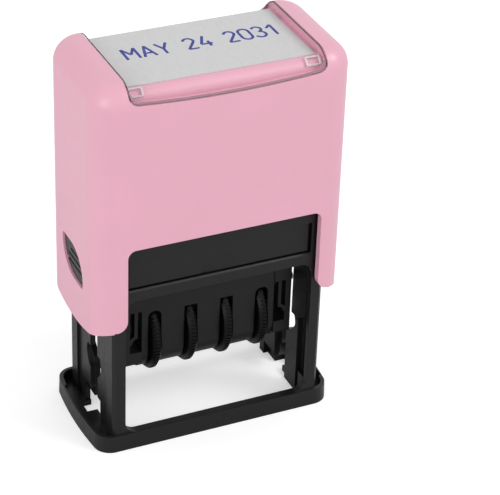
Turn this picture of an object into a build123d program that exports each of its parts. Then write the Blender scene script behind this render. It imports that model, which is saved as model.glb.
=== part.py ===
from build123d import *
from math import asin, atan2, cos, degrees, dist, pi, sin, sqrt
import os

# Self-inking date stamp. Millimetres, +Z up, -Y is the front where the thumbwheels are reached.
# The origin is the middle of the foot's underside.

os.makedirs("parts", exist_ok=True)

# Working motion: pressing the housing down by the stroke turns the carriage over by half a turn.
stroke = 26.0
pad_gap = 0.5
paper_gap = 0.5

# Clearances.
running_fit = 0.05
slide_gap = 0.2
side_gap = 0.4
seat_gap = 0.02
# How far a cut starts outside the piece that it cuts.
overshoot = 1.0

# Housing shell.
housing_width = 62.0
housing_depth = 33.2
housing_top = 97.0
housing_wall = 1.8
housing_corner = 6.8
housing_top_round = 5.5
hollow_round = 4.6
cutout_side = 7.05
cutout_over_bay = 4.1
cutout_corner = 2.0
tongue_low = 31.0
tongue_radius = 38.0
lobe_corner = 3.0

# Index window on top of the housing.
window_side = 7.3
window_pocket = 2.4
lens_thickness = 1.5
lens_drop_middle = 5.4
lens_drop_side = 4.4
lens_corner = 2.4
lens_tab_length = 3.0
lens_tab_thickness = 0.8
lens_tab_middle = 9.0
card_side_gap = 1.2
card_end_gap = 4.4
card_shift = 0.7
card_thickness = 0.3

# Base frame: foot, four corner posts, side walls, cartridge bay.
foot_end_set_in = 0.1
foot_front_step = 0.6
foot_height = 4.3
foot_end_bow = 1.2
foot_corner = 4.2
foot_taper = 2.0
foot_lip = 1.0
foot_floor = 1.5
frame_side_gap = 2.6
frame_depth_gap = 0.7
frame_chamfer = 0.8
post_width = 3.1
post_depth = 4.4
post_plate = 1.2
post_groove = 1.6
rail_thickness = 2.0
opening_corner = 3.0
rear_opening_extra = 1.1
side_wall_set_in = 1.9
side_wall = 1.3
crossbar_low = 41.1
crossbar_edge = 0.4
bay_floor = 44.0
bay_height = 8.2
roof_thickness = 2.8
ledge_width = 1.2
rear_rail_low = 5.0
rear_rail_height = 4.0
foot_slot_width = 4.0
foot_slot_start = 1.2
foot_slot_end = 5.4
foot_slot_past_post = 0.7
wall_gap_front = 4.0
wall_gap_rear = 6.0
wall_gap_top = 7.7
keyhole_radius = 4.6
keyhole_centre = 17.5
keyhole_top = 19.8
guide_half_gap = 3.0
guide_end = 9.0
guide_proud = 1.5
guide_low = 1.0
guide_top = 22.0
guide_round = 8.75
guide_round_centre = 24.0
centre_mark = 0.9
centre_mark_depth = 0.2

# Ink pad and its cartridge.
cartridge_wall = 1.8
cartridge_corner = 0.6
cartridge_recess = 0.6
pad_proud = 0.15
cartridge_edge = 0.4
grip_radius = 4.6
grip_depth = 0.4

# Carriage: hood, ends, platen.
carriage_gap = 2.1
hood_low = 15.0
hood_wall = 1.2
hood_flat = 0.8
hood_set_in = 2.2
cheek_thickness = 1.4
end_width = 4.4
end_set_in = 2.0
end_low = 19.0
end_flange = 1.5
end_apron_low = 33.5
end_apron = 1.2
end_block_height = 3.2
arm_thickness = 0.9
arm_width = 1.5
arm_bend = 2.0
arm_over_block = 2.4
platen_thickness = 1.2
platen_gap = 2.1
die_thickness = 1.1
die_margin = 0.2
type_height = 0.8
type_window_side = 4.0
type_window_gap = 0.25

# Pins.
pivot_radius = 2.1
pivot_head_radius = 3.0
follower_radius = 1.2
follower_head_radius = 1.9
pin_head = 1.0
crank = 6.0
boss_wall = 1.9
track_depth = 0.9
track_steps = 12
pin_tip_gap = 0.2

# Date wheels and bands.
wheel_count = 4
wheel_end = 3.3
wheel_radius = 10.4
wheel_disc = 2.3
wheel_rim = 0.8
wheel_teeth = 66
tooth_depth = 0.3
wheel_axle_height = 24.0
drum_radius = 4.6
axle_radius = 1.5
washer_radius = 3.0
slot_width = 3.3
slot_top_outer = 32.8
slot_top_inner = 32.3
slot_round = 1.5
band_thickness = 0.9
band_play = 0.5
band_side_gap = 0.3
bridge_radius = 2.6
bridge_height = 5.4
type_length = 2.0
type_pitch = 3.4
type_rows = 3

# Lock buttons in the housing's sides.
button_length = 12.4
button_height = 8.6
button_round = 7.2
button_point = 0.8
button_centre = 46.3
button_sink = 0.5
button_rim = 0.6
button_flange = 0.8
button_nose = 2.0
button_nose_length = 0.9
grip_rib_pitch = 1.6
grip_rib = 0.7
grip_rib_depth = 0.4
rib_lengths = (5.2, 7.7, 9.4)

# Return springs, standing on the roof of the frame.
spring_offset = 12.0
spring_radius = 3.6
spring_wire = 0.9
spring_turns = 9
spring_peg = 2.6
spring_peg_height = 7.5
spring_plate_thickness = 1.4
spring_plate_length = 40.0
spring_plate_depth = 20.0
spring_collar = 0.8
spring_collar_height = 2.2

# Worked out from the sizes above.
half_width = housing_width / 2
half_depth = housing_depth / 2
inner_half_width = half_width - housing_wall
inner_half_depth = half_depth - housing_wall
cutout_half_width = half_width - cutout_side
window_half_width = half_width - window_side
card_width = 2 * (window_half_width - card_side_gap)
card_depth = 2 * (half_depth - card_end_gap)
bay_top = bay_floor + bay_height
frame_top = bay_top + roof_thickness
cutout_top = bay_top + cutout_over_bay
frame_half_width = inner_half_width - frame_side_gap
frame_half_depth = inner_half_depth - frame_depth_gap
foot_half_length = half_width - foot_end_set_in
foot_front = frame_half_depth + foot_front_step
foot_rear = half_depth
opening_half_width = frame_half_width - post_width
rear_opening_half_width = opening_half_width + rear_opening_extra
side_wall_inner = frame_half_width - side_wall_set_in
wall_outer = side_wall_inner + side_wall
post_inner = frame_half_depth - post_depth
rail_inner = frame_half_depth - rail_thickness
rear_rail_top = rear_rail_low + rear_rail_height
carriage_half_width = opening_half_width - carriage_gap
hood_half_width = carriage_half_width - end_width
platen_half_depth = rail_inner - platen_gap
hood_half_depth = platen_half_depth - hood_set_in
hood_round = hood_half_depth - hood_flat
end_half_depth = platen_half_depth - end_set_in
type_window_half_width = hood_half_width - type_window_side
wheel_middle = (wheel_count - 1) / 2
wheel_pitch = (hood_half_width - wheel_end) / wheel_middle
pad_face = bay_floor + pad_proud
type_face = pad_face - pad_gap
pivot_height = (type_face + stroke + paper_gap) / 2
die_face = type_face - die_margin
platen_low = die_face - die_thickness - platen_thickness
follower_height = pivot_height - crank
bridge_centre = type_face - type_height - band_thickness - running_fit - bridge_radius
bay_half_width = carriage_half_width + side_gap + ledge_width
pocket_floor = housing_top - window_pocket
lens_edge_middle = housing_top - lens_drop_middle
lens_edge_side = housing_top - lens_drop_side
ceiling = pocket_floor - housing_wall
plate_low = ceiling - spring_plate_thickness
reach = 2 * (half_width + half_depth)


def save(builder, name):
    """Label a finished piece and write it under its own name."""
    builder.part.label = name
    export_step(builder.part, f"parts/{name}.step")


def mirrored_x(side):
    """The plane for a piece on the left (-1) or right (+1) side, with its local X pointing outwards."""
    return Plane(origin=(0, 0, 0), x_dir=(side, 0, 0), z_dir=(0, 0, 1))


# Base frame
with BuildPart() as base_frame:
    with BuildSketch(Plane.XY):
        with BuildLine():
            end = foot_half_length - foot_end_bow
            foot_middle = (foot_rear - foot_front) / 2
            Line((-end, -foot_front), (end, -foot_front))
            ThreePointArc((end, -foot_front), (foot_half_length, foot_middle), (end, foot_rear))
            Line((end, foot_rear), (-end, foot_rear))
            ThreePointArc((-end, foot_rear), (-foot_half_length, foot_middle), (-end, -foot_front))
        make_face()
        fillet(vertices(), foot_corner)
    extrude(amount=foot_height, taper=foot_taper)
    # The sunk floor inside the foot's lip, at both ends.
    with BuildSketch(Plane.XY.offset(foot_floor)):
        with BuildLine():
            lip_x = end - foot_lip
            lip_bow = foot_half_length - foot_lip
            lip_front = foot_front - foot_lip
            lip_rear = foot_rear - foot_lip
            Line((-lip_x, -lip_front), (lip_x, -lip_front))
            ThreePointArc((lip_x, -lip_front), (lip_bow, foot_middle), (lip_x, lip_rear))
            Line((lip_x, lip_rear), (-lip_x, lip_rear))
            ThreePointArc((-lip_x, lip_rear), (-lip_bow, foot_middle), (-lip_x, -lip_front))
        make_face()
        fillet(vertices(), foot_corner - foot_lip)
        Rectangle(2 * (frame_half_width - frame_chamfer), reach, mode=Mode.SUBTRACT)
    extrude(amount=foot_height, mode=Mode.SUBTRACT)
    # The tower: four posts, side walls and the bay, cut from one chamfered block.
    with BuildSketch(Plane.XY):
        Rectangle(2 * frame_half_width, 2 * frame_half_depth)
        chamfer(vertices(), frame_chamfer)
    extrude(amount=frame_top)
    # Front window, down to the foot's front rail.
    with BuildSketch(Plane.XZ):
        with Locations((0, (foot_height + crossbar_low) / 2)):
            RectangleRounded(2 * opening_half_width, crossbar_low - foot_height, opening_corner)
    extrude(amount=reach, mode=Mode.SUBTRACT)
    # Rear window, down to a raised rail.
    with BuildSketch(Plane.XZ):
        with Locations((0, (rear_rail_top + crossbar_low) / 2)):
            RectangleRounded(2 * rear_opening_half_width, crossbar_low - rear_rail_top, opening_corner)
    extrude(amount=-reach, mode=Mode.SUBTRACT)
    # The space that the carriage turns in, open to the paper below.
    with BuildSketch(Plane.XY.offset(-overshoot)):
        Rectangle(2 * opening_half_width, 2 * rail_inner)
        Rectangle(2 * side_wall_inner, 2 * post_inner)
    extrude(amount=crossbar_low + overshoot, mode=Mode.SUBTRACT)
    # Upright grooves in the posts' inner faces, behind thin front and rear plates.
    groove_depth = post_depth - post_plate
    groove_middle = post_inner + groove_depth / 2
    groove_low = foot_height + opening_corner
    with BuildSketch(Plane.XY.offset(groove_low)):
        with GridLocations(0, 2 * groove_middle, 1, 2):
            Rectangle(2 * (opening_half_width + post_groove), groove_depth)
    extrude(amount=crossbar_low - groove_low, mode=Mode.SUBTRACT)
    # Bare floor under the raised rear rail.
    with BuildSketch(Plane.XY.offset(-overshoot)):
        with Locations((0, rail_inner)):
            Rectangle(2 * rear_opening_half_width, reach, align=(Align.CENTER, Align.MIN))
    extrude(amount=rear_rail_low + overshoot, mode=Mode.SUBTRACT)
    # Window under the ink pad, leaving a ledge at both sides for the cartridge.
    with BuildSketch(Plane.XY.offset(crossbar_low - overshoot)):
        Rectangle(2 * (carriage_half_width + side_gap), 2 * rail_inner)
    extrude(amount=bay_floor - crossbar_low + 2 * overshoot, mode=Mode.SUBTRACT)
    # The bay, open at the front.
    with BuildSketch(Plane.XY.offset(bay_floor)):
        with Locations((0, rail_inner)):
            Rectangle(2 * bay_half_width, reach, align=(Align.CENTER, Align.MAX))
    extrude(amount=bay_height, mode=Mode.SUBTRACT)
    bay_edges = base_frame.edges().filter_by_position(Axis.Z, bay_floor, bay_floor)
    chamfer(bay_edges.group_by(Axis.Y)[0], crossbar_edge)
    # Outer recess between the posts, for the housing's bosses and buttons.
    for side in (-1, 1):
        with BuildSketch(mirrored_x(side).offset(foot_floor)):
            with Locations((wall_outer, 0)):
                Rectangle(half_width - wall_outer - foot_lip, 2 * post_inner, align=(Align.MIN, Align.CENTER))
        extrude(amount=foot_height, mode=Mode.SUBTRACT)
        with BuildSketch(mirrored_x(side).offset(foot_height)):
            with Locations((wall_outer, 0)):
                Rectangle(reach, 2 * post_inner, align=(Align.MIN, Align.CENTER))
        extrude(amount=reach, mode=Mode.SUBTRACT)
    # Vertical slots that the pivot pins run down, and the lock holes above them.
    slot_half = pivot_radius + slide_gap
    slot_low = pivot_height - stroke - slot_half
    slot_high = pivot_height + slot_half
    with BuildSketch(Plane.YZ):
        with Locations((0, (slot_low + slot_high) / 2)):
            SlotOverall(slot_high - slot_low, 2 * slot_half, rotation=90)
    extrude(amount=wall_outer + overshoot, both=True, mode=Mode.SUBTRACT)
    for side in (-1, 1):
        with BuildSketch(Plane.YZ.offset(side * (bay_half_width + overshoot))):
            with Locations((0, button_centre)):
                Circle(button_nose + slide_gap)
        extrude(amount=side * reach, mode=Mode.SUBTRACT)
    # Slots through the foot's floor under the walls, and the gaps in the walls above them.
    foot_slot_x = frame_half_width + foot_slot_past_post - foot_slot_width / 2
    foot_slot_y = (foot_slot_start + foot_slot_end) / 2
    with BuildSketch(Plane.XY.offset(-overshoot)):
        with Locations((-foot_slot_x, foot_slot_y), (foot_slot_x, foot_slot_y)):
            Rectangle(foot_slot_width, foot_slot_end - foot_slot_start)
    extrude(amount=foot_floor + overshoot, mode=Mode.SUBTRACT)
    for side in (-1, 1):
        with BuildSketch(Plane.YZ.offset(side * side_wall_inner)):
            with Locations(((wall_gap_rear - wall_gap_front) / 2, (foot_floor + wall_gap_top) / 2)):
                Rectangle(wall_gap_front + wall_gap_rear, wall_gap_top - foot_floor)
            with Locations((0, keyhole_centre)):
                Circle(keyhole_radius)
            with Locations((0, keyhole_top)):
                keyhole_side = 2 * keyhole_radius
                Rectangle(keyhole_side, keyhole_side, align=(Align.CENTER, Align.MIN), mode=Mode.SUBTRACT)
        extrude(amount=side * (side_wall + overshoot), mode=Mode.SUBTRACT)
    # Curved tracks in the walls' inner faces that turn the carriage over.
    track_half = follower_radius + slide_gap
    track_points = []
    for step in range(track_steps + 1):
        turn = pi * step / track_steps
        drop = stroke * step / track_steps
        track_points.append((crank * sin(turn), pivot_height - drop - crank * cos(turn)))
    for side in (-1, 1):
        with BuildSketch(Plane.YZ.offset(side * (side_wall_inner - overshoot))):
            for near, far in zip(track_points, track_points[1:]):
                middle = ((near[0] + far[0]) / 2, (near[1] + far[1]) / 2)
                lean = degrees(atan2(far[1] - near[1], far[0] - near[0]))
                with Locations(middle):
                    SlotCenterToCenter(dist(near, far), 2 * track_half, rotation=lean)
        extrude(amount=side * (track_depth + overshoot), mode=Mode.SUBTRACT)
    # Guide blocks on the walls, beside the slots, hollowed round at the top.
    guide_depth = guide_end - guide_half_gap
    for side in (-1, 1):
        with BuildSketch(Plane.YZ.offset(side * side_wall_inner)):
            with Locations((-guide_half_gap, guide_low)):
                Rectangle(guide_depth, guide_top - guide_low, align=(Align.MAX, Align.MIN))
            with Locations((guide_half_gap, foot_height)):
                Rectangle(guide_depth, guide_top - foot_height, align=(Align.MIN, Align.MIN))
            with Locations((0, guide_round_centre)):
                Circle(guide_round, mode=Mode.SUBTRACT)
        extrude(amount=-side * guide_proud)
    # Spring pegs on the roof.
    with BuildSketch(Plane.XY.offset(frame_top)):
        with Locations((-spring_offset, 0), (spring_offset, 0)):
            Circle(spring_peg)
    extrude(amount=spring_peg_height)
    # Centre mark on the front rail, to line the stamp up with a mark on paper.
    with BuildSketch(Plane.XZ.offset(foot_front)):
        with Locations((0, foot_height / 2)):
            RegularPolygon(centre_mark, 3, rotation=-90)
    extrude(amount=-centre_mark_depth, mode=Mode.SUBTRACT)
save(base_frame, "base_frame")

# Ink pad cartridge
cartridge_half_width = bay_half_width - slide_gap
cartridge_front = frame_half_depth - cartridge_recess
cartridge_rear = rail_inner - slide_gap
cartridge_depth = cartridge_front + cartridge_rear
cartridge_mid = (cartridge_rear - cartridge_front) / 2
cartridge_height = bay_height - 2 * slide_gap
pad_half_width = carriage_half_width - side_gap
pad_depth = 2 * (rail_inner - cartridge_wall)
pad_height = cartridge_height - cartridge_wall
with BuildPart() as pad_cartridge:
    with BuildSketch(Plane.XY.offset(bay_floor + running_fit)):
        with Locations((0, cartridge_mid)):
            Rectangle(2 * cartridge_half_width, cartridge_depth)
    extrude(amount=cartridge_height)
    fillet(pad_cartridge.edges().filter_by(Axis.Z), cartridge_corner)
    chamfer(pad_cartridge.faces().sort_by(Axis.Z)[0].edges().group_by(Axis.Y)[0], cartridge_edge)
    with BuildSketch(Plane.XY.offset(bay_floor + running_fit)):
        Rectangle(2 * pad_half_width, pad_depth)
    extrude(amount=pad_height, mode=Mode.SUBTRACT)
    # Half-round scoop on the front that marks where to pull, deepest at its left edge.
    lean = asin(grip_depth / (2 * grip_radius))
    scoop = Plane(
        origin=(grip_radius, -cartridge_front, bay_floor + running_fit),
        x_dir=(-cos(lean), sin(lean), 0),
        z_dir=(sin(lean), cos(lean), 0),
    )
    with BuildSketch(scoop):
        with Locations((grip_radius, 0)):
            Circle(grip_radius)
    extrude(amount=-(grip_depth + overshoot), mode=Mode.SUBTRACT)
save(pad_cartridge, "pad_cartridge")

with BuildPart() as ink_pad:
    with BuildSketch(Plane.XY.offset(pad_face)):
        Rectangle(2 * (pad_half_width - seat_gap), pad_depth - 2 * seat_gap)
    extrude(amount=bay_floor + running_fit + pad_height - pad_face - seat_gap)
save(ink_pad, "ink_pad")

# Housing shell
def top_profile(inset):
    """The housing's side profile at its top, drawn in YZ and moved inwards by the inset."""
    round_radius = housing_top_round - inset
    top = housing_top - inset
    side_y = half_depth - inset
    flat_y = half_depth - housing_top_round
    low = housing_top - housing_top_round
    corner = round_radius * sqrt(0.5)
    with BuildSketch() as profile:
        with BuildLine():
            Line((-side_y, low - housing_top_round), (-side_y, low))
            ThreePointArc((-side_y, low), (-flat_y - corner, low + corner), (-flat_y, top))
            Line((-flat_y, top), (flat_y, top))
            ThreePointArc((flat_y, top), (flat_y + corner, low + corner), (side_y, low))
            Line((side_y, low), (side_y, low - housing_top_round))
            Line((side_y, low - housing_top_round), (-side_y, low - housing_top_round))
        make_face()
    return profile.sketch


def above_edge(lift, half, corner):
    """What lies above the bowed lower edge of the window, in XZ, up to the given half width."""
    side_z = lens_edge_side + lift
    top_z = housing_top + lift + overshoot
    with BuildSketch() as outline:
        with BuildLine():
            ThreePointArc((-half, side_z), (0, lens_edge_middle + lift), (half, side_z))
            Polyline((half, side_z), (half, top_z), (-half, top_z), (-half, side_z))
        make_face()
        fillet(outline.vertices().sort_by(Axis.Y)[:2], corner)
    return outline.sketch


def window_space(lift, half, corner):
    """The space that the window takes: bowed and rounded at the front and rear, square on top."""
    with BuildPart() as space:
        with BuildSketch(Plane.XZ):
            add(above_edge(lift, half, corner))
        extrude(amount=reach, both=True)
        with BuildSketch(Plane.XY.offset(pocket_floor + lift)):
            Rectangle(2 * half, 2 * (half_depth - housing_top_round - lift))
        extrude(amount=window_pocket + overshoot)
    return space.part


def facing_in(side):
    """The plane behind a side wall, facing inwards, with its local Y pointing up."""
    return Plane(origin=(0, 0, 0), x_dir=(0, -side, 0), z_dir=(-side, 0, 0))


def button_outline(grow):
    """A lock button's outline in local (depth, height): a leaf with two wide and two sharp corners."""
    with BuildSketch() as outline:
        with Locations((0, button_centre)):
            Rectangle(button_length + 2 * grow, button_height + 2 * grow)
        wide_corners = [v for v in outline.vertices() if (v.X > 0) != (v.Y > button_centre)]
        fillet(wide_corners, button_round + grow)
        sharp_corners = outline.vertices().sort_by_distance((0, button_centre))[-2:]
        fillet(sharp_corners, button_point + grow)
    return outline.sketch


pocket_space = window_space(0, window_half_width, lens_corner)
with BuildPart() as window_pocket_tool:
    add(pocket_space)
    with BuildSketch(Plane.YZ):
        add(top_profile(window_pocket))
    extrude(amount=reach, both=True, mode=Mode.SUBTRACT)

with BuildPart() as housing_hollow:
    with BuildSketch(Plane.XY.offset(tongue_low)):
        RectangleRounded(2 * inner_half_width, 2 * inner_half_depth, housing_corner - housing_wall)
    extrude(amount=ceiling - tongue_low)
    fillet(housing_hollow.faces().sort_by(Axis.Z)[-1].edges(), hollow_round)

with BuildPart() as housing_shell:
    with BuildSketch(Plane.XY.offset(tongue_low)):
        RectangleRounded(housing_width, housing_depth, housing_corner)
    extrude(amount=housing_top - tongue_low)
    fillet(housing_shell.faces().sort_by(Axis.Z)[-1].edges(), housing_top_round)
    add(housing_hollow.part, mode=Mode.SUBTRACT)
    # The bowed lower edge of the side walls.
    with BuildSketch(Plane.YZ):
        with Locations((0, tongue_low + tongue_radius)):
            Circle(tongue_radius)
        with Locations((0, tongue_low + tongue_radius)):
            Rectangle(2 * tongue_radius, tongue_radius, align=(Align.CENTER, Align.MIN))
    extrude(amount=reach, both=True, mode=Mode.INTERSECT)
    # The front and rear cut-outs, with rounded lobes beside them.
    lobe_low = tongue_low + tongue_radius - sqrt(tongue_radius**2 - half_depth**2)
    with BuildSketch(Plane.XZ):
        with Locations((0, cutout_top)):
            Rectangle(2 * cutout_half_width, 2 * (cutout_top - tongue_low), align=(Align.CENTER, Align.MAX))
        fillet(vertices().group_by(Axis.Y)[-1], cutout_corner)
        for side in (-1, 1):
            with Locations((side * (cutout_half_width + lobe_corner / 2), lobe_low)):
                Rectangle(lobe_corner, 2 * lobe_corner)
            with Locations((side * (cutout_half_width + lobe_corner), lobe_low + lobe_corner)):
                Circle(lobe_corner, mode=Mode.SUBTRACT)
    extrude(amount=reach, both=True, mode=Mode.SUBTRACT)
    # The pocket for the window and the card.
    add(window_pocket_tool.part, mode=Mode.SUBTRACT)
    # Holes for the lock buttons, and bosses that carry the pivot pins.
    for side in (-1, 1):
        with BuildSketch(facing_in(side).offset(-half_width - overshoot)):
            add(button_outline(slide_gap))
        extrude(amount=housing_wall + 2 * overshoot, mode=Mode.SUBTRACT)
        with BuildSketch(Plane.YZ.offset(side * (inner_half_width + seat_gap))):
            with Locations((0, pivot_height)):
                Circle(pivot_radius + boss_wall)
        extrude(amount=-side * (inner_half_width + seat_gap - wall_outer - slide_gap))
        with BuildSketch(Plane.YZ.offset(side * inner_half_width)):
            with Locations((0, pivot_height)):
                Circle(pivot_radius + running_fit)
        extrude(amount=-side * (inner_half_width - wall_outer), mode=Mode.SUBTRACT)
save(housing_shell, "housing_shell")

# Clear window, standing on four tabs beside the card
lens_space = window_space(running_fit, window_half_width - slide_gap, lens_corner - slide_gap)
with BuildPart() as window_lens:
    with BuildSketch(Plane.YZ):
        add(top_profile(0))
    extrude(amount=window_half_width - slide_gap, both=True)
    with BuildSketch(Plane.YZ):
        add(top_profile(lens_thickness))
    extrude(amount=reach, both=True, mode=Mode.SUBTRACT)
    add(lens_space, mode=Mode.INTERSECT)
    tab_x = window_half_width - slide_gap - lens_tab_thickness / 2
    with BuildSketch(Plane.XY.offset(pocket_floor + seat_gap)):
        with GridLocations(2 * tab_x, 2 * lens_tab_middle, 2, 2):
            Rectangle(lens_tab_thickness, lens_tab_length)
    extrude(amount=window_pocket - lens_thickness - seat_gap)
save(window_lens, "window_lens")

with BuildPart() as index_card:
    with BuildSketch(Plane.XY.offset(pocket_floor)):
        with Locations((0, card_shift)):
            Rectangle(card_width, card_depth)
    extrude(amount=card_thickness)
save(index_card, "index_card")

# Spring plate under the housing's ceiling
with BuildPart() as spring_plate:
    with BuildSketch(Plane.XY.offset(plate_low)):
        RectangleRounded(spring_plate_length, spring_plate_depth, spring_radius)
    extrude(amount=spring_plate_thickness)
    spring_outer = spring_radius + spring_wire / 2
    with BuildSketch(Plane.XY.offset(plate_low)):
        with Locations((-spring_offset, 0), (spring_offset, 0)):
            Circle(spring_outer + slide_gap + spring_collar)
            Circle(spring_outer + slide_gap, mode=Mode.SUBTRACT)
    extrude(amount=-spring_collar_height)
save(spring_plate, "spring_plate")


# Return springs
def return_spring(x):
    """A compression spring from the roof of the frame to the plate, as one wire."""
    low = frame_top + spring_wire / 2 + seat_gap
    high = plate_low - spring_wire / 2 - seat_gap
    pitch = (high - low) / spring_turns
    with BuildPart() as spring:
        with BuildLine() as coil:
            Helix(pitch=pitch, height=high - low, radius=spring_radius, center=(x, 0, low))
        start = coil.line @ 0
        with BuildSketch(Plane(origin=start, z_dir=coil.line % 0)):
            Circle(spring_wire / 2)
        sweep(path=coil.line)
    return spring


for side, name in ((-1, "left"), (1, "right")):
    save(return_spring(side * spring_offset), f"return_spring_{name}")


# Lock buttons
def lock_button(side):
    """A button seen through the housing's side, with three grip ribs and a nose that locks the base."""
    facing = facing_in(side)
    face_x = half_width - button_sink
    inner_x = inner_half_width - running_fit
    with BuildPart() as button:
        with BuildSketch(facing.offset(-face_x)):
            add(button_outline(0))
        extrude(amount=face_x - inner_x + button_flange)
        with BuildSketch(facing.offset(-inner_x)):
            add(button_outline(button_rim + slide_gap))
        extrude(amount=button_flange)
        with BuildSketch(facing.offset(-inner_x)):
            with Locations((0, button_centre)):
                Circle(button_nose)
        extrude(amount=button_flange + button_nose_length)
        for row, length in enumerate(rib_lengths):
            with BuildSketch(facing.offset(-face_x)):
                with Locations((0, button_centre + (1 - row) * grip_rib_pitch)):
                    SlotOverall(length, grip_rib)
            extrude(amount=grip_rib_depth, mode=Mode.SUBTRACT)
    return button


for side, name in ((-1, "left"), (1, "right")):
    save(lock_button(side), f"lock_button_{name}")

# Carriage hood
wheel_places = [(i - wheel_middle) * wheel_pitch for i in range(wheel_count)]
hood_inner_width = hood_half_width - hood_wall
hood_inner_depth = hood_half_depth - hood_wall
with BuildPart() as carriage_hood:
    with BuildSketch(Plane.YZ):
        with Locations((0, platen_low)):
            Rectangle(2 * hood_half_depth, platen_low - hood_low, align=(Align.CENTER, Align.MAX))
        fillet(vertices().group_by(Axis.Y)[0], hood_round)
    extrude(amount=hood_half_width, both=True)
    with BuildSketch(Plane.YZ):
        with Locations((0, platen_low)):
            Rectangle(
                2 * hood_inner_depth, platen_low - hood_low - hood_wall, align=(Align.CENTER, Align.MAX)
            )
        fillet(vertices().group_by(Axis.Y)[0], hood_round - hood_wall)
    extrude(amount=hood_inner_width, both=True, mode=Mode.SUBTRACT)
    # Slots for the thumbwheels: the outer two have round tops.
    for place in wheel_places:
        is_outer = abs(place) > wheel_pitch
        slot_top = slot_top_outer if is_outer else slot_top_inner
        with BuildSketch(Plane.XZ):
            with Locations((place, slot_top)):
                Rectangle(slot_width, slot_top, align=(Align.CENTER, Align.MAX))
            if is_outer:
                fillet(vertices().group_by(Axis.Y)[-1], slot_round)
        extrude(amount=reach, both=True, mode=Mode.SUBTRACT)
    # Holes for the axle.
    with BuildSketch(Plane.YZ):
        with Locations((0, wheel_axle_height)):
            Circle(axle_radius + seat_gap)
    extrude(amount=reach, both=True, mode=Mode.SUBTRACT)
save(carriage_hood, "carriage_hood")


# Carriage ends
def carriage_end(side):
    """The end piece that carries a pivot pin and a follower pin, with a curved retaining arm."""
    cheek_inner = carriage_half_width - cheek_thickness
    block_top = end_low + end_block_height
    with BuildPart() as end_piece:
        with BuildSketch(mirrored_x(side).offset(platen_low)):
            with Locations((hood_half_width, 0)):
                Rectangle(
                    carriage_half_width - hood_half_width, 2 * end_half_depth, align=(Align.MIN, Align.CENTER)
                )
        extrude(amount=-end_flange)
        with BuildSketch(mirrored_x(side).offset(platen_low)):
            with Locations((cheek_inner, 0)):
                Rectangle(cheek_thickness, 2 * end_half_depth, align=(Align.MIN, Align.CENTER))
        extrude(amount=end_low - platen_low)
        with BuildSketch(mirrored_x(side).offset(end_low)):
            with Locations((hood_half_width, 0)):
                Rectangle(cheek_inner - hood_half_width, 2 * end_half_depth, align=(Align.MIN, Align.CENTER))
        extrude(amount=end_block_height)
        # Aprons under the flange, at the front and the rear.
        with BuildSketch(mirrored_x(side).offset(end_apron_low)):
            with GridLocations(0, 2 * end_half_depth - end_apron, 1, 2):
                with Locations((hood_half_width, 0)):
                    Rectangle(cheek_inner - hood_half_width, end_apron, align=(Align.MIN, Align.CENTER))
        extrude(amount=platen_low - end_apron_low)
        # The arm hangs from the apron and curls onto the cheek.
        arm_x = side * (hood_half_width + cheek_inner) / 2
        arm_end = block_top + arm_over_block
        arm_start = (arm_x, end_apron_low + arm_width)
        arm_curl = (arm_x, arm_end + arm_bend)
        with BuildSketch(Plane.XZ.offset(end_half_depth - arm_width)):
            with BuildLine():
                Line(arm_start, arm_curl)
                RadiusArc(arm_curl, (side * cheek_inner, arm_end), side * arm_bend)
            trace(line_width=arm_thickness)
        extrude(amount=arm_width)
        # Holes for the two pins.
        for height, radius in ((pivot_height, pivot_radius), (follower_height, follower_radius)):
            with BuildSketch(Plane.YZ.offset(side * (cheek_inner - slide_gap))):
                with Locations((0, height)):
                    Circle(radius + seat_gap)
            extrude(amount=side * reach, mode=Mode.SUBTRACT)
    return end_piece


def headed_pin(side, height, radius, head_radius, tip):
    """A pin with its head against the inside of the cheek and its tip pointing outwards."""
    seat = carriage_half_width - cheek_thickness
    with BuildPart() as pin:
        with BuildSketch(Plane.YZ.offset(side * seat)):
            with Locations((0, height)):
                Circle(radius)
        extrude(amount=side * (tip - seat))
        chamfer(pin.faces().sort_by(Axis.X)[-1 if side > 0 else 0].edges(), pin_tip_gap)
        with BuildSketch(Plane.YZ.offset(side * seat)):
            with Locations((0, height)):
                Circle(head_radius)
        extrude(amount=-side * pin_head)
    return pin


for side, name in ((-1, "left"), (1, "right")):
    save(carriage_end(side), f"carriage_end_{name}")
    pivot_tip = inner_half_width - pin_tip_gap
    save(headed_pin(side, pivot_height, pivot_radius, pivot_head_radius, pivot_tip), f"pivot_pin_{name}")
    follower_tip = side_wall_inner + track_depth - pin_tip_gap
    save(
        headed_pin(side, follower_height, follower_radius, follower_head_radius, follower_tip),
        f"follower_pin_{name}",
    )

# Platen and blank text die, with a window for the date
type_window_half_depth = bridge_radius + running_fit + band_thickness + type_window_gap
with BuildPart() as platen:
    with BuildSketch(Plane.XY.offset(platen_low)):
        Rectangle(2 * carriage_half_width, 2 * platen_half_depth)
        Rectangle(2 * type_window_half_width, 2 * type_window_half_depth, mode=Mode.SUBTRACT)
    extrude(amount=platen_thickness)
save(platen, "platen")

with BuildPart() as text_die:
    with BuildSketch(Plane.XY.offset(platen_low + platen_thickness)):
        Rectangle(2 * (carriage_half_width - die_margin), 2 * (platen_half_depth - die_margin))
        Rectangle(2 * type_window_half_width, 2 * type_window_half_depth, mode=Mode.SUBTRACT)
    extrude(amount=die_thickness)
save(text_die, "text_die")

# Bridge that the bands turn over, under the date window
with BuildPart() as band_bridge:
    with BuildSketch(Plane.YZ):
        with Locations((0, bridge_centre)):
            Rectangle(2 * bridge_radius, bridge_height - bridge_radius, align=(Align.CENTER, Align.MAX))
    extrude(amount=hood_inner_width, both=True)
    # The round nose stops inside the date window.
    with BuildSketch(Plane.YZ):
        with Locations((0, bridge_centre)):
            Circle(bridge_radius)
    extrude(amount=type_window_half_width - type_window_gap, both=True)
save(band_bridge, "band_bridge")

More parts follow.
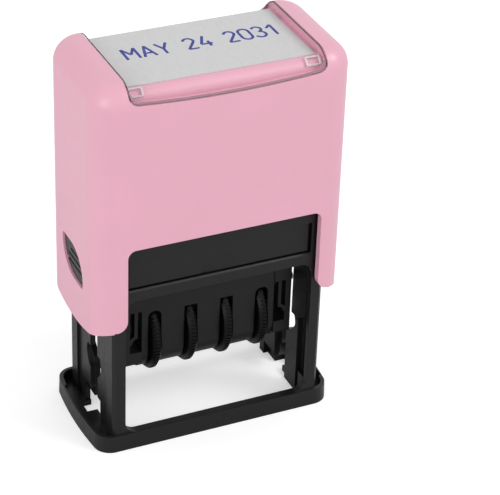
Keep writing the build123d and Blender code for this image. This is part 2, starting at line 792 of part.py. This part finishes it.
# Axle of the thumbwheels, with a washer at each end
with BuildPart() as band_axle:
    with BuildSketch(Plane.YZ):
        with Locations((0, wheel_axle_height)):
            Circle(axle_radius)
    extrude(amount=hood_half_width, both=True)
save(band_axle, "band_axle")

disc_edge = wheel_places[-1] + wheel_disc / 2
washer_length = hood_inner_width - disc_edge - 2 * seat_gap
for side, name in ((-1, "left"), (1, "right")):
    with BuildPart() as axle_washer:
        with BuildSketch(Plane.YZ.offset(side * (disc_edge + seat_gap))):
            with Locations((0, wheel_axle_height)):
                Circle(washer_radius)
                Circle(axle_radius + running_fit, mode=Mode.SUBTRACT)
        extrude(amount=side * washer_length)
    save(axle_washer, f"axle_washer_{name}")


# Thumbwheels and date bands
def thumbwheel(place, drum_side, drum_length):
    """A toothed disc with a drum on one side that drives its band."""
    with BuildPart() as wheel:
        with BuildSketch(Plane.YZ.offset(place)):
            with Locations((0, wheel_axle_height)):
                Circle(wheel_radius)
        extrude(amount=wheel_disc / 2, both=True)
        chamfer(wheel.edges().filter_by(GeomType.CIRCLE), wheel_rim)
        with BuildSketch(Plane.YZ.offset(place)):
            tooth_width = pi * wheel_radius / wheel_teeth
            with Locations((0, wheel_axle_height)):
                with PolarLocations(wheel_radius, wheel_teeth):
                    Rectangle(2 * tooth_depth, tooth_width)
        extrude(amount=wheel_disc / 2, both=True, mode=Mode.SUBTRACT)
        with BuildSketch(Plane.YZ.offset(place + drum_side * wheel_disc / 2)):
            with Locations((0, wheel_axle_height)):
                Circle(drum_radius)
        extrude(amount=drum_side * drum_length)
        with BuildSketch(Plane.YZ.offset(place)):
            with Locations((0, wheel_axle_height)):
                Circle(axle_radius + running_fit)
        extrude(amount=reach, both=True, mode=Mode.SUBTRACT)
    return wheel


def belt_outline(drum, nose):
    """A closed belt's outline in YZ round the drum and the bridge's nose."""
    span = bridge_centre - wheel_axle_height
    lean = asin((drum - nose) / span)
    low_point = (drum * cos(lean), wheel_axle_height + drum * sin(lean))
    high_point = (nose * cos(lean), bridge_centre + nose * sin(lean))
    with BuildSketch() as outline:
        with BuildLine():
            Line(low_point, high_point)
            ThreePointArc(high_point, (0, bridge_centre + nose), (-high_point[0], high_point[1]))
            Line((-high_point[0], high_point[1]), (-low_point[0], low_point[1]))
            ThreePointArc((-low_point[0], low_point[1]), (0, wheel_axle_height - drum), low_point)
        make_face()
    return outline.sketch, lean, low_point


def date_band(centre, width):
    """A rubber band with raised type round it."""
    inner_drum = drum_radius + running_fit
    inner_nose = bridge_radius + running_fit
    outer_nose = inner_nose + band_thickness
    with BuildPart() as band:
        outer, lean, low_point = belt_outline(inner_drum + band_thickness, outer_nose)
        inner = belt_outline(inner_drum, inner_nose)[0]
        with BuildSketch(Plane.YZ.offset(centre)):
            add(outer)
        extrude(amount=width / 2, both=True)
        with BuildSketch(Plane.YZ.offset(centre)):
            add(inner)
        extrude(amount=width / 2, both=True, mode=Mode.SUBTRACT)
        # The type in print, and the next ones down both flanks.
        with BuildSketch(Plane.YZ.offset(centre)):
            with Locations((0, bridge_centre + outer_nose - band_thickness / 2)):
                Rectangle(type_length, band_thickness / 2 + type_height, align=(Align.CENTER, Align.MIN))
            for side in (-1, 1):
                for row in range(type_rows):
                    along = (row + 1) * type_pitch
                    y = low_point[0] - along * sin(lean)
                    z = low_point[1] + along * cos(lean)
                    with Locations(Location((side * y, z, 0), (0, 0, side * degrees(lean)))):
                        Rectangle(band_thickness, type_length)
        extrude(amount=(width - band_side_gap) / 2, both=True)
    return band


drum_gap = band_side_gap / 3
wide_drum = wheel_pitch - wheel_disc - band_side_gap
narrow_drum = (wheel_pitch - wheel_disc) / 2 - drum_gap
wheel_names = ("month", "day_tens", "day_units", "year")
for index, name in enumerate(wheel_names):
    drum_side = 1 if index < 2 else -1
    is_wide = name in ("month", "year")
    drum = wide_drum if is_wide else narrow_drum
    width = drum - band_play
    place = wheel_places[index]
    drum_middle = place + drum_side * (wheel_disc + drum) / 2
    save(thumbwheel(place, drum_side, drum), f"{name}_wheel")
    save(date_band(drum_middle, width), f"{name}_band")
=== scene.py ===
from math import cos, radians, sin

import bpy
from mathutils import Matrix, Vector


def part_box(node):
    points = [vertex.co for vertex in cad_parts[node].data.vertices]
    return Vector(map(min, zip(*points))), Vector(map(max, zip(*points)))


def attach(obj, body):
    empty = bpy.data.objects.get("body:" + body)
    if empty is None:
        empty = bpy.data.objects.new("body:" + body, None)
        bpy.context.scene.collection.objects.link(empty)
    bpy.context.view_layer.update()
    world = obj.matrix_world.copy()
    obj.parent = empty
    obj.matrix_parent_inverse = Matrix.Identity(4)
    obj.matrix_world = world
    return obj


# Self-inking date stamp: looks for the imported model. Metres, +Z up, the front faces -Y.

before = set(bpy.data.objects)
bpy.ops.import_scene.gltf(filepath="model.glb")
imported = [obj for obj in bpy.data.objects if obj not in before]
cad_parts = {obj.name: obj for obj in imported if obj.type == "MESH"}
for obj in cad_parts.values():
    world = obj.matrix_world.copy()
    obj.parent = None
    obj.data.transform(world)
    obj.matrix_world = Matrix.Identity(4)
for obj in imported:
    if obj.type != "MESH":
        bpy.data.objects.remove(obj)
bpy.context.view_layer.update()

MM = 0.001

# The sRGB curve: full scale, where its straight foot ends, the foot's slope, and the rest
SRGB_FULL, SRGB_FOOT, SRGB_SLOPE, SRGB_OFFSET, SRGB_POWER = 255, 0.04045, 12.92, 0.055, 2.4


def srgb(red, green, blue):
    """A linear colour from an sRGB one in 0 to 255."""
    channels = []
    for value in (red, green, blue):
        v = value / SRGB_FULL
        if v <= SRGB_FOOT:
            channels.append(v / SRGB_SLOPE)
        else:
            channels.append(((v + SRGB_OFFSET) / (1 + SRGB_OFFSET)) ** SRGB_POWER)
    return (*channels, 1.0)


# Colours
PINK = srgb(228, 169, 188)
BLACK = srgb(18, 18, 20)
BLACK_WHEEL = srgb(6, 6, 7)
BLACK_BUTTON = srgb(52, 52, 54)
CARD = srgb(207, 207, 208)
BLUE = srgb(15, 31, 130)
BLUE_THIN = srgb(30, 48, 150)
FELT = srgb(26, 34, 96)
DIE = srgb(112, 96, 100)
BAND = srgb(58, 56, 60)
STEEL = srgb(176, 177, 180)
CLEAR = srgb(240, 232, 236)
# Painted refraction: the colour of the lines along the window's cut rims
RIM_REFRACTION_PAINT = srgb(164, 132, 143)
# Painted shadow: the colour of the lines in the gap between the window and the housing
GAP_SHADOW_PAINT = srgb(92, 60, 70)
WHITE = (1, 1, 1, 1)
PAPER_DARK, PAPER_LIGHT = (0.80, 0.80, 0.80, 1), (0.81, 0.81, 0.81, 1)

# Surfaces
BEVEL_SAMPLES = 6
PLASTIC_IOR, CLEAR_IOR = 1.5, 1.46
RUBBER_ROUGH, RUBBER_EDGE = 0.62, 0.12 * MM
STEEL_EDGE = 0.08 * MM
FELT_SHEEN = 0.3
# Noise drawn out along one axis: fibres, wire marks, turning marks
ALONG_X, ALONG_Y, ALONG_Z = (0.1, 1.0, 1.0), (1.0, 0.3, 1.0), (1.0, 1.0, 0.1)


class Nodes:
    """A material's node tree with short calls for the nodes used here."""

    def __init__(self, name):
        self.material = bpy.data.materials.new(name)
        self.material.use_nodes = True
        self.tree = self.material.node_tree
        self.shader = self.tree.nodes["Principled BSDF"]
        self.place = self.tree.nodes.new("ShaderNodeTexCoord").outputs["Object"]

    def link(self, output, node, socket):
        self.tree.links.new(output, node.inputs[socket])

    def noise(self, scale, detail=3.0, roughness=0.5, stretch=None):
        node = self.tree.nodes.new("ShaderNodeTexNoise")
        node.inputs["Scale"].default_value = scale
        node.inputs["Detail"].default_value = detail
        node.inputs["Roughness"].default_value = roughness
        place = self.place
        if stretch:
            mapping = self.tree.nodes.new("ShaderNodeMapping")
            mapping.inputs["Scale"].default_value = stretch
            self.link(place, mapping, "Vector")
            place = mapping.outputs["Vector"]
        self.link(place, node, "Vector")
        return node.outputs["Fac"]

    def spread(self, value, low, high, from_low=0.35, from_high=0.65):
        node = self.tree.nodes.new("ShaderNodeMapRange")
        for socket, number in (
            ("From Min", from_low), ("From Max", from_high), ("To Min", low), ("To Max", high),
        ):
            node.inputs[socket].default_value = number
        self.link(value, node, "Value")
        return node.outputs["Result"]

    def blend(self, factor, colour_a, colour_b):
        node = self.tree.nodes.new("ShaderNodeMix")
        node.data_type = "RGBA"
        node.inputs["A"].default_value = colour_a
        node.inputs["B"].default_value = colour_b
        self.link(factor, node, "Factor")
        return node.outputs["Result"]

    def relief(self, height, strength, distance, edge=0.0):
        node = self.tree.nodes.new("ShaderNodeBump")
        node.inputs["Strength"].default_value = strength
        node.inputs["Distance"].default_value = distance
        self.link(height, node, "Height")
        if edge:
            bevel = self.tree.nodes.new("ShaderNodeBevel")
            bevel.samples = BEVEL_SAMPLES
            bevel.inputs["Radius"].default_value = edge
            self.link(bevel.outputs["Normal"], node, "Normal")
        self.link(node.outputs["Normal"], self.shader, "Normal")


def shade(colour, share):
    """The colour made darker or lighter by a share."""
    return (*[min(1.0, channel * share) for channel in colour[:3]], 1.0)


def plastic(name, colour, rough, grain, specular, edge=0.0, mottle=0.03):
    """Moulded plastic: slight colour drift, uneven gloss and a fine moulded grain."""
    n = Nodes(name)
    n.shader.inputs["IOR"].default_value = PLASTIC_IOR
    n.shader.inputs["Specular IOR Level"].default_value = specular
    drift = n.spread(n.noise(scale=55, detail=4), low=0.0, high=1.0)
    n.link(n.blend(drift, shade(colour, 1 - mottle), shade(colour, 1 + mottle)), n.shader, "Base Color")
    gloss = n.noise(scale=900, detail=5, roughness=0.6)
    n.link(n.spread(gloss, low=rough * 0.88, high=rough * 1.14), n.shader, "Roughness")
    grains = n.noise(scale=4200, detail=3, roughness=0.55)
    n.relief(grains, strength=grain, distance=0.04 * MM, edge=edge)
    return n.material


def clear_plastic(name, colour, cover):
    """Clear moulded window with faint surface waves and hairline scratches, seen through by its alpha."""
    n = Nodes(name)
    n.shader.inputs["Alpha"].default_value = cover
    n.shader.inputs["IOR"].default_value = CLEAR_IOR
    haze = n.spread(n.noise(scale=120, detail=3), low=0.0, high=1.0)
    n.link(n.blend(haze, shade(colour, 0.985), shade(colour, 1.015)), n.shader, "Base Color")
    scratches = n.noise(scale=2600, detail=4, roughness=0.6, stretch=(1.0, 0.06, 1.0))
    n.link(n.spread(scratches, low=0.03, high=0.09), n.shader, "Roughness")
    n.relief(n.noise(scale=160, detail=2), strength=0.03, distance=0.08 * MM)
    return n.material


def card_stock(name):
    """Uncoated card with short fibres."""
    n = Nodes(name)
    strands = n.noise(scale=1500, detail=6, roughness=0.7, stretch=ALONG_Y)
    fibres = n.spread(strands, low=0.0, high=1.0)
    n.link(n.blend(fibres, shade(CARD, 0.965), shade(CARD, 1.02)), n.shader, "Base Color")
    n.link(n.spread(n.noise(scale=800, detail=3), low=0.72, high=0.88), n.shader, "Roughness")
    n.relief(n.noise(scale=3600, detail=5, roughness=0.7), strength=0.2, distance=0.03 * MM)
    return n.material


def stamped_ink(name):
    """Stamp ink on card: fuller and thinner patches."""
    n = Nodes(name)
    blots = n.noise(scale=1400, detail=5, roughness=0.65)
    patches = n.spread(blots, low=0.0, high=1.0, from_low=0.3, from_high=0.7)
    n.link(n.blend(patches, BLUE, BLUE_THIN), n.shader, "Base Color")
    n.link(n.spread(n.noise(scale=2200, detail=3), low=0.5, high=0.7), n.shader, "Roughness")
    n.relief(n.noise(scale=5200, detail=4), strength=0.12, distance=0.02 * MM)
    return n.material


def felt(name, colour):
    """Ink-soaked felt: matted fibres."""
    n = Nodes(name)
    strands = n.noise(scale=2600, detail=7, roughness=0.75, stretch=(1.0, 0.35, 1.0))
    fibres = n.spread(strands, low=0.0, high=1.0)
    n.link(n.blend(fibres, shade(colour, 0.7), shade(colour, 1.35)), n.shader, "Base Color")
    n.link(n.spread(n.noise(scale=700, detail=4), low=0.55, high=0.85), n.shader, "Roughness")
    n.shader.inputs["Sheen Weight"].default_value = FELT_SHEEN
    n.relief(n.noise(scale=3200, detail=8, roughness=0.8), strength=0.7, distance=0.15 * MM)
    return n.material


def rubber(name, colour):
    """Moulded rubber with a dusty bloom."""
    n = Nodes(name)
    dust = n.noise(scale=420, detail=5, roughness=0.6)
    bloom = n.spread(dust, low=0.0, high=1.0, from_low=0.3, from_high=0.75)
    n.link(n.blend(bloom, colour, shade(colour, 1.22)), n.shader, "Base Color")
    gloss = n.noise(scale=1100, detail=4)
    n.link(n.spread(gloss, low=RUBBER_ROUGH * 0.9, high=RUBBER_ROUGH * 1.12), n.shader, "Roughness")
    grains = n.noise(scale=3600, detail=4, roughness=0.6)
    n.relief(grains, strength=0.25, distance=0.04 * MM, edge=RUBBER_EDGE)
    return n.material


def steel(name, stretch):
    """Turned or drawn steel with marks along one direction."""
    n = Nodes(name)
    n.shader.inputs["Metallic"].default_value = 1.0
    marks = n.noise(scale=2400, detail=5, roughness=0.7, stretch=stretch)
    tone = n.spread(marks, low=0.0, high=1.0)
    n.link(n.blend(tone, shade(STEEL, 0.86), shade(STEEL, 1.06)), n.shader, "Base Color")
    n.link(n.spread(marks, low=0.24, high=0.42), n.shader, "Roughness")
    n.relief(marks, strength=0.12, distance=0.03 * MM, edge=STEEL_EDGE)
    return n.material


pink = plastic("pink plastic", PINK, rough=0.34, grain=0.10, specular=0.6, mottle=0.012)
black = plastic("black plastic", BLACK, rough=0.36, grain=0.16, specular=0.32, edge=0.22 * MM)
black_hood = plastic("black hood plastic", BLACK, rough=0.40, grain=0.18, specular=0.26, edge=0.25 * MM)
black_wheel = plastic(
    "black wheel plastic", BLACK_WHEEL, rough=0.34, grain=0.14, specular=0.16, edge=0.08 * MM
)
black_button = plastic(
    "black button plastic", BLACK_BUTTON, rough=0.4, grain=0.16, specular=0.32, edge=0.3 * MM
)
clear = clear_plastic("clear plastic", CLEAR, cover=0.012)
# Painted refraction along the window's cut rims, mostly opaque
rim_refraction_look = clear_plastic("painted rim refraction", RIM_REFRACTION_PAINT, cover=0.85)
# Painted highlight on the snap tabs' edges, part opaque
tab_highlight_look = clear_plastic("painted tab highlight", CLEAR, cover=0.6)
# Painted shadow in the gap between the window's sides and the housing
gap_shadow_look = clear_plastic("painted gap shadow", GAP_SHADOW_PAINT, cover=0.8)
card = card_stock("card stock")
ink = stamped_ink("stamped ink")

looks = {
    "housing_shell": pink,
    "base_frame": black,
    "pad_cartridge": black,
    "spring_plate": black,
    "band_bridge": black,
    "platen": black,
    "carriage_hood": black_hood,
    "carriage_end_left": black_hood,
    "carriage_end_right": black_hood,
    "lock_button_left": black_button,
    "lock_button_right": black_button,
    "window_lens": clear,
    "index_card": card,
    "ink_pad": felt("ink pad felt", FELT),
    "text_die": rubber("die rubber", DIE),
    "return_spring_left": steel("spring wire", ALONG_Z),
    "pivot_pin_left": steel("turned pin", ALONG_X),
}
looks["return_spring_right"] = looks["return_spring_left"]
for name in (
    "pivot_pin_right", "follower_pin_left", "follower_pin_right",
    "band_axle", "axle_washer_left", "axle_washer_right",
):
    looks[name] = looks["pivot_pin_left"]
band_look = rubber("band rubber", BAND)
for name in ("month", "day_tens", "day_units", "year"):
    looks[f"{name}_wheel"] = black_wheel
    looks[f"{name}_band"] = band_look

for name, material in looks.items():
    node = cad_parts[name]
    if not node.material_slots:
        node.data.materials.append(material)
    for material_slot in node.material_slots:
        material_slot.material = material


# Pieces
LINE_ROUNDNESS = 3
ARC_STEPS = 14


def curve_piece(name, strokes, radius, material, flatten=None):
    """A mesh of round strokes through points, made from curves and flattened towards a height if asked."""
    curve = bpy.data.curves.new(name, "CURVE")
    curve.dimensions = "3D"
    curve.bevel_depth = radius
    curve.bevel_resolution = LINE_ROUNDNESS
    curve.use_fill_caps = True
    for points in strokes:
        spline = curve.splines.new("POLY")
        spline.points.add(len(points) - 1)
        for item, point in zip(spline.points, points):
            item.co = (*point, 1.0)
    shape = bpy.data.objects.new(name, curve)
    mesh = bpy.data.meshes.new_from_object(shape)
    bpy.data.objects.remove(shape)
    piece = bpy.data.objects.new(name, mesh)
    bpy.context.scene.collection.objects.link(piece)
    if flatten:
        height, share = flatten
        for vertex in mesh.vertices:
            vertex.co.z = height + (vertex.co.z - height) * share
    mesh.materials.clear()
    mesh.materials.append(material)
    for face in mesh.polygons:
        face.use_smooth = True
    return piece


def arc(cx, cy, rx, ry, start, end):
    """Points along an ellipse's arc, in degrees."""
    turns = [radians(start + (end - start) * i / ARC_STEPS) for i in range(ARC_STEPS + 1)]
    return [(cx + rx * cos(t), cy + ry * sin(t)) for t in turns]


# Gap after a letter and width of a space, in letter heights; turns with a smaller cosine are sharp
LETTER_GAP, LETTER_SPACE = 0.2, 0.52
SHARP_COSINE = 0.7
# Single-line letters and digits, one unit tall. Each is (width, strokes).
GLYPHS = {
    "M": (0.56, [[(0, 0), (0, 1), (0.28, 0.42), (0.56, 1), (0.56, 0)]]),
    "A": (0.54, [[(0, 0), (0.27, 1), (0.54, 0)], [(0.09, 0.32), (0.45, 0.32)]]),
    "Y": (0.52, [[(0, 1), (0.26, 0.46), (0.52, 1)], [(0.26, 0.46), (0.26, 0)]]),
    "0": (0.46, [
        arc(0.23, 0.74, 0.23, 0.26, 0, 180) + arc(0.23, 0.26, 0.23, 0.26, 180, 360) + [(0.46, 0.74)],
    ]),
    "1": (0.28, [[(0, 0.72), (0.26, 1), (0.26, 0)]]),
    "2": (0.46, [arc(0.23, 0.75, 0.22, 0.25, 170, -28) + [(0, 0), (0.46, 0)]]),
    "3": (0.44, [arc(0.2, 0.77, 0.21, 0.23, 160, -90), arc(0.2, 0.27, 0.24, 0.27, 90, -160)]),
    "4": (0.5, [[(0.3, 1), (0, 0.26), (0.5, 0.26)], [(0.36, 0.5), (0.36, 0)]]),
}


def split_sharp(line):
    """The line cut at its sharp corners, so that each stroke keeps its full width there."""
    runs = [[line[0]]]
    for before, here, after in zip(line, line[1:], line[2:]):
        runs[-1].append(here)
        one = Vector((here[0] - before[0], here[1] - before[1]))
        two = Vector((after[0] - here[0], after[1] - here[1]))
        if one.dot(two) < SHARP_COSINE * one.length * two.length:
            runs.append([here])
    runs[-1].append(line[-1])
    return runs


def lettering(text, left, right, base, height, z):
    """Strokes of a line of text between two X positions, in metres, lying at height z."""
    widths = [LETTER_SPACE if c == " " else GLYPHS[c][0] + LETTER_GAP for c in text]
    wide = sum(widths) - LETTER_GAP
    scale_x = (right - left) / wide
    strokes = []
    along = 0.0
    for c, width in zip(text, widths):
        if c != " ":
            for line in GLYPHS[c][1]:
                for run in split_sharp(line):
                    stroke = [(left + (along + x) * scale_x, base + y * height, z) for x, y in run]
                    strokes.append(stroke)
        along += width
    return strokes


# The card's date: where it starts and ends across, its foot, height and line, and how flat it lies
DATE_LEFT, DATE_RIGHT, DATE_BASE, DATE_HEIGHT = -17.3 * MM, 19.1 * MM, 0.1 * MM, 5.1 * MM
DATE_LINE, DATE_FLATNESS = 0.34 * MM, 0.08
card_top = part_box("index_card")[1][2]
date = curve_piece(
    "card_date",
    lettering("MAY 24 2031", DATE_LEFT, DATE_RIGHT, DATE_BASE, DATE_HEIGHT, card_top),
    DATE_LINE,
    ink,
    (card_top, DATE_FLATNESS),
)
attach(date, "housing")

# The window's rounded long edges, in mm: the round's centre, and the plastic's outer radius
ROUND_Y, ROUND_Z, LENS_RADIUS = 11.1, 91.5, 5.5
# How far each line's middle lies inside the plastic, and its half thickness
RIM_SINK, RIM_LINE = 0.35, 0.3
SIDE_SINK, SIDE_LINE = 0.15, 0.14
# The rim's height at the sides and in the middle, its corner's radius, and the steps along both
RIM_SIDE, RIM_MIDDLE, RIM_CORNER = 92.95, 91.95, 2.0
CORNER_STEPS, BOW_STEPS = 12, 32
# The side line's place across, and the angles round the edge that it runs between
SIDE_X, SIDE_LOW, SIDE_TOP, SIDE_STEP = 23.34, 20, 90, 7
# The tab's outer and inner leg across, its radius, line, and the angles round the edge
TAB_OUTER, TAB_INNER, TAB_RADIUS, TAB_LINE = 22.8, 19.6, 3.55, 0.3
TAB_TOP, TAB_LOW, TAB_STEP = 66, 34, 4

lens_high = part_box("window_lens")[1]
rim_half = lens_high[0] / MM - RIM_SINK
rim_radius = LENS_RADIUS - RIM_SINK


def rim_height(x):
    """The height of the rim's bowed line at a place across the window."""
    return RIM_MIDDLE + (RIM_SIDE - RIM_MIDDLE) * (x / rim_half) ** 2


def rim_point(x, z, side):
    """A point of the rim on the window's rounded edge, front (-1) or rear (+1), in metres."""
    rise = min(max(z - ROUND_Z, 0.0), rim_radius)
    return (x * MM, side * (ROUND_Y + (rim_radius**2 - rise**2) ** 0.5) * MM, z * MM)


def edge_point(x, side, radius, turn):
    """A point at an angle in degrees round the window's edge, front (-1) or rear (+1), in metres."""
    angle = radians(turn)
    return (x * MM, side * (ROUND_Y + radius * cos(angle)) * MM, (ROUND_Z + radius * sin(angle)) * MM)


# Painted refraction: grey-mauve lines along the window's rounded lower rims, front and rear, for the light
# bent in the plastic's cut edge
bend = rim_half - RIM_CORNER
corner = []
for step in range(CORNER_STEPS + 1):
    turn = radians(90 * step / CORNER_STEPS)
    corner.append((-bend - RIM_CORNER * cos(turn), rim_height(bend) + RIM_CORNER * (1 - sin(turn))))
places = [bend * (2 * step / BOW_STEPS - 1) for step in range(1, BOW_STEPS)]
rim = corner + [(x, rim_height(x)) for x in places] + [(-x, z) for x, z in reversed(corner)]
for side, name in ((-1, "front"), (1, "rear")):
    path = [rim_point(x, z, side) for x, z in rim]
    piece = curve_piece(f"painted_window_rim_{name}", [path], RIM_LINE * MM, rim_refraction_look)
    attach(piece, "window")

# The window's long sides: painted shadow, a dark line in the gap where its edge meets the housing
side_radius = LENS_RADIUS - SIDE_SINK
rising = [(-1, turn) for turn in range(SIDE_LOW, SIDE_TOP + 1, SIDE_STEP)]
falling = [(1, turn) for turn in range(SIDE_TOP, SIDE_LOW - 1, -SIDE_STEP)]
for side, name in ((-1, "left"), (1, "right")):
    path = [edge_point(side * SIDE_X, end, side_radius, turn) for end, turn in rising + falling]
    piece = curve_piece(f"window_gap_shadow_{name}", [path], SIDE_LINE * MM, gap_shadow_look)
    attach(piece, "window")

# Looped snap tabs under the window's front corners: each loop draws a tab's outline, pale and part-opaque
# as a painted highlight on its edges
down = [(TAB_OUTER, turn) for turn in range(TAB_TOP, TAB_LOW - 1, -TAB_STEP)]
up = [(TAB_INNER, turn) for turn in range(TAB_LOW, TAB_TOP + 1, TAB_STEP)]
loop = down + up + down[:1]
for side, name in ((-1, "left"), (1, "right")):
    path = [edge_point(side * x, -1, TAB_RADIUS, turn) for x, turn in loop]
    tab = curve_piece(f"window_tab_{name}", [path], TAB_LINE * MM, tab_highlight_look)
    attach(tab, "window")


def math_node(tree, operation, first, second):
    """A math node's result on two values, each a socket or a number."""
    node = tree.nodes.new("ShaderNodeMath")
    node.operation = operation
    for socket, value in zip(node.inputs, (first, second)):
        if isinstance(value, float):
            socket.default_value = value
        else:
            tree.links.new(value, socket)
    return node.outputs[0]


# Floor, plain and pale, lifted to the photo's white only where the camera sees it
FLOOR_HALF, FLOOR_DROP, FLOOR_LIFT = 6.0, 0.05 * MM, 0.43
FLOOR_ROUGH, FLOOR_SPECULAR = 0.9, 0.1
floor_look = Nodes("pale floor")
floor_look.shader.inputs["Roughness"].default_value = FLOOR_ROUGH
floor_look.shader.inputs["Specular IOR Level"].default_value = FLOOR_SPECULAR
paper = floor_look.spread(floor_look.noise(scale=60, detail=2), low=0.0, high=1.0)
floor_look.link(floor_look.blend(paper, PAPER_DARK, PAPER_LIGHT), floor_look.shader, "Base Color")
rays = floor_look.tree.nodes.new("ShaderNodeLightPath").outputs
seen = math_node(floor_look.tree, "MAXIMUM", rays["Is Camera Ray"], rays["Is Transmission Ray"])
floor_look.shader.inputs["Emission Color"].default_value = WHITE
lift = math_node(floor_look.tree, "MULTIPLY", seen, FLOOR_LIFT)
floor_look.link(lift, floor_look.shader, "Emission Strength")
floor_mesh = bpy.data.meshes.new("floor")
corners = [(x * FLOOR_HALF, y * FLOOR_HALF, 0) for x, y in ((-1, -1), (1, -1), (1, 1), (-1, 1))]
floor_mesh.from_pydata(corners, [], [(0, 1, 2, 3)])
floor = bpy.data.objects.new("floor", floor_mesh)
floor.location.z = -FLOOR_DROP
bpy.context.scene.collection.objects.link(floor)
floor_mesh.materials.append(floor_look.material)

# World: white all round, a little stronger where it is seen or mirrored than where it lights
WORLD_LIGHT, WORLD_SEEN = 0.745, 1.0
world = bpy.data.worlds.new("studio")
bpy.context.scene.world = world
world.use_nodes = True
background = world.node_tree.nodes["Background"]
background.inputs["Color"].default_value = WHITE
rays = world.node_tree.nodes.new("ShaderNodeLightPath").outputs
seen = math_node(world.node_tree, "MAXIMUM", rays["Is Camera Ray"], rays["Is Transmission Ray"])
seen = math_node(world.node_tree, "MAXIMUM", seen, rays["Is Glossy Ray"])
level = world.node_tree.nodes.new("ShaderNodeMapRange")
level.inputs["To Min"].default_value = WORLD_LIGHT
level.inputs["To Max"].default_value = WORLD_SEEN
world.node_tree.links.new(seen, level.inputs["Value"])
world.node_tree.links.new(level.outputs["Result"], background.inputs["Strength"])


def lamp(name, place, aim, size, energy):
    """A square soft lamp."""
    data = bpy.data.lights.new(name, "AREA")
    data.shape = "SQUARE"
    data.size = size
    data.energy = energy
    light = bpy.data.objects.new(name, data)
    light.location = place
    light.rotation_mode = "QUATERNION"
    light.rotation_quaternion = (Vector(aim) - Vector(place)).to_track_quat("-Z", "Y")
    bpy.context.scene.collection.objects.link(light)


lamp("key", place=(0.75, -0.55, 0.85), aim=(0, 0, 0.04), size=0.5, energy=4.6)
lamp("fill", place=(-0.92, -0.42, 0.24), aim=(0, 0, 0.05), size=0.7, energy=3.5)

# Camera, fitted to the photograph. Focal length and width are in the photo's pixels.
SENSOR_WIDTH, CLIP_START = 36, 10 * MM
AZIMUTH, ELEVATION, ROLL = radians(-25.709), radians(31.874), radians(2.206)
FOCAL, WIDTH = 2108.205, 500
SHIFT_RIGHT, SHIFT_UP, DISTANCE = -12.574 * MM, -0.454 * MM, 496.506 * MM
TARGET = Vector((0, 0, 42 * MM))
back = Vector((sin(AZIMUTH) * cos(ELEVATION), -cos(AZIMUTH) * cos(ELEVATION), sin(ELEVATION)))
level_right = Vector((0, 0, 1)).cross(back).normalized()
level_up = back.cross(level_right)
right = cos(ROLL) * level_right + sin(ROLL) * level_up
up = -sin(ROLL) * level_right + cos(ROLL) * level_up
camera_data = bpy.data.cameras.new("camera")
camera_data.sensor_width = SENSOR_WIDTH
camera_data.lens = FOCAL / WIDTH * SENSOR_WIDTH
camera_data.clip_start = CLIP_START
camera = bpy.data.objects.new("camera", camera_data)
rotation = Matrix((right, up, back)).transposed().to_4x4()
place = TARGET + back * DISTANCE - right * SHIFT_RIGHT - up * SHIFT_UP
camera.matrix_world = Matrix.Translation(place) @ rotation
bpy.context.scene.collection.objects.link(camera)
bpy.context.scene.camera = camera
bpy.context.scene.view_settings.view_transform = "Standard"
